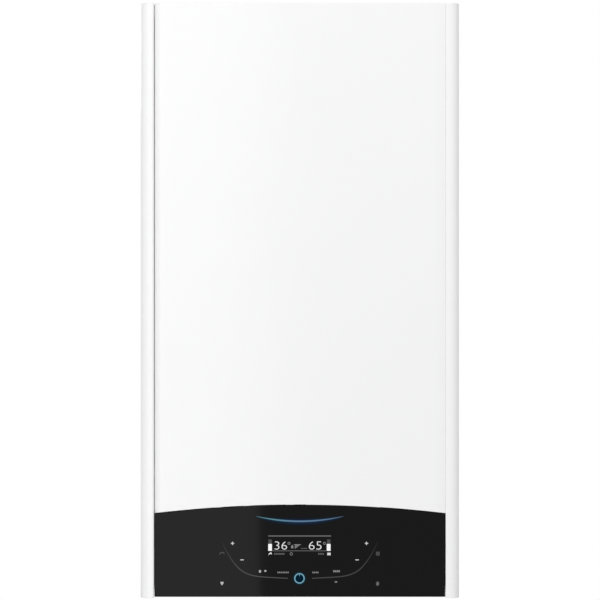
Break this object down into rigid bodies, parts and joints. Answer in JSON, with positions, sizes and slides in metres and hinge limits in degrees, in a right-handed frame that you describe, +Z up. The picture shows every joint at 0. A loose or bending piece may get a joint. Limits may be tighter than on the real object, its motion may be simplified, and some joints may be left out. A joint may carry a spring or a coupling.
{
  "type": "combi boiler",
  "caption": "Wall-hung condensing combi boiler: white casing with a pull-off front, black curved control fascia that tilts down, and all inner groups.",
  "frame": {"origin": "on the wall face of the back frame, midway between the two hanging slots, 680 mm above the casing's lower edge", "axes": "+Z up, +Y out of the back towards the wall, +X to the right as seen from the front"},
  "size_m": [0.4, 0.319, 0.745],
  "materials": {
    "white_paint": "smooth white powder coat, soft gloss",
    "white_plastic": "white moulded plastic, soft gloss",
    "zinc_steel": "zinc-coated sheet, satin",
    "stainless": "stainless steel, satin",
    "cast_aluminium": "die-cast aluminium, fine grain",
    "brass": "machined brass",
    "copper": "drawn copper tube, slightly dulled",
    "cast_iron": "black dipped casting",
    "black_gloss": "high-gloss black front plate",
    "black_plastic": "moulded, fine grain",
    "grey_plastic": "moulded, fine grain",
    "black_rubber": "corrugated hose rubber",
    "red_paint": "red enamel on pressed steel",
    "red_plastic": "moulded red plastic",
    "blue_plastic": "moulded blue plastic",
    "circuit": "green circuit board with its parts",
    "clear_glass": "sight glass in a steel ring",
    "white_ceramic": "glazed insulator"
  },
  "bodies": {
    "carcass": {"back_frame": "zinc_steel", "right_side_panel": "white_paint", "left_side_panel": "white_paint", "top_plate": "white_paint", "bottom_bracket": "zinc_steel", "exchanger_hanger": "zinc_steel", "right_hinge_bracket": "zinc_steel", "left_hinge_bracket": "zinc_steel", "right_cover_peg": "zinc_steel", "left_cover_peg": "zinc_steel", "flue_collar": "white_plastic", "flue_pipe": "stainless", "flue_sampling_plug": "grey_plastic", "air_sampling_plug": "grey_plastic", "exchanger_shell": "stainless", "exchanger_coil": "stainless", "burner_door": "cast_aluminium", "burner_tube": "stainless", "sight_glass": "clear_glass", "ignition_electrode": "white_ceramic", "mixture_duct": "cast_aluminium", "fan_housing": "cast_aluminium", "fan_motor": "black_plastic", "air_gas_mixer": "cast_aluminium", "air_silencer": "black_plastic", "gas_valve": "cast_aluminium", "gas_feed_pipe": "copper", "gas_supply_pipe": "copper", "expansion_vessel": "red_paint", "vessel_pipe": "copper", "plate_exchanger": "stainless", "flow_manifold": "brass", "return_manifold": "brass", "diverter_motor": "white_plastic", "safety_valve": "brass", "pressure_sensor": "grey_plastic", "pump_housing": "cast_iron", "pump_motor": "grey_plastic", "air_vent": "brass", "flow_pipe": "copper", "return_pipe": "copper", "condensate_trap": "white_plastic", "condensate_hose": "black_rubber"},
    "fan_rotor": {"fan_impeller": "black_plastic"},
    "pump_wheel": {"pump_rotor": "stainless"},
    "turbine": {"flow_turbine": "blue_plastic"},
    "diverter": {"diverter_spindle": "stainless"},
    "filling_tap": {"filling_knob": "blue_plastic"},
    "safety_handle": {"safety_knob": "red_plastic"},
    "drain_tap": {"drain_cock": "black_plastic"},
    "front_cover": {"front_panel": "white_paint", "right_moulding": "white_plastic", "left_moulding": "white_plastic", "right_cover_screw": "zinc_steel", "left_cover_screw": "zinc_steel"},
    "control_box": {"control_fascia": "black_gloss", "control_tray": "black_plastic", "wiring_cover": "black_plastic", "main_board": "circuit", "display_module": "black_plastic"}
  },
  "joints": [
    {"name": "front_cover_pull", "type": "slide", "parent": "carcass", "child": "front_cover", "axis": [0, -1, 0], "range_m": [0, 0.35]},
    {"name": "control_box_tilt", "type": "hinge", "parent": "carcass", "child": "control_box", "pos_m": [0, -0.2508, -0.669], "axis": [1, 0, 0], "range_deg": [0, 90]},
    {"name": "fan_spin", "type": "hinge", "parent": "carcass", "child": "fan_rotor", "pos_m": [-0.095, -0.24, -0.35], "axis": [0, 1, 0], "continuous": true},
    {"name": "pump_spin", "type": "hinge", "parent": "carcass", "child": "pump_wheel", "pos_m": [0.128, -0.14, -0.492], "axis": [0, 1, 0], "continuous": true},
    {"name": "turbine_spin", "type": "hinge", "parent": "carcass", "child": "turbine", "pos_m": [0.065, -0.122, -0.6], "axis": [0, 0, 1], "continuous": true},
    {"name": "diverter_stroke", "type": "slide", "parent": "carcass", "child": "diverter", "axis": [0, 0, -1], "range_m": [0, 0.008]},
    {"name": "filling_turn", "type": "hinge", "parent": "carcass", "child": "filling_tap", "pos_m": [0.0975, -0.122, -0.66], "axis": [0, 0, 1], "range_deg": [0, 90]},
    {"name": "safety_turn", "type": "hinge", "parent": "carcass", "child": "safety_handle", "pos_m": [-0.144, -0.18, -0.60025], "axis": [0, 1, 0], "range_deg": [0, 90]},
    {"name": "drain_turn", "type": "hinge", "parent": "carcass", "child": "drain_tap", "pos_m": [0.14, -0.16, -0.60625], "axis": [0, 1, 0], "range_deg": [0, 360]}
  ]
}
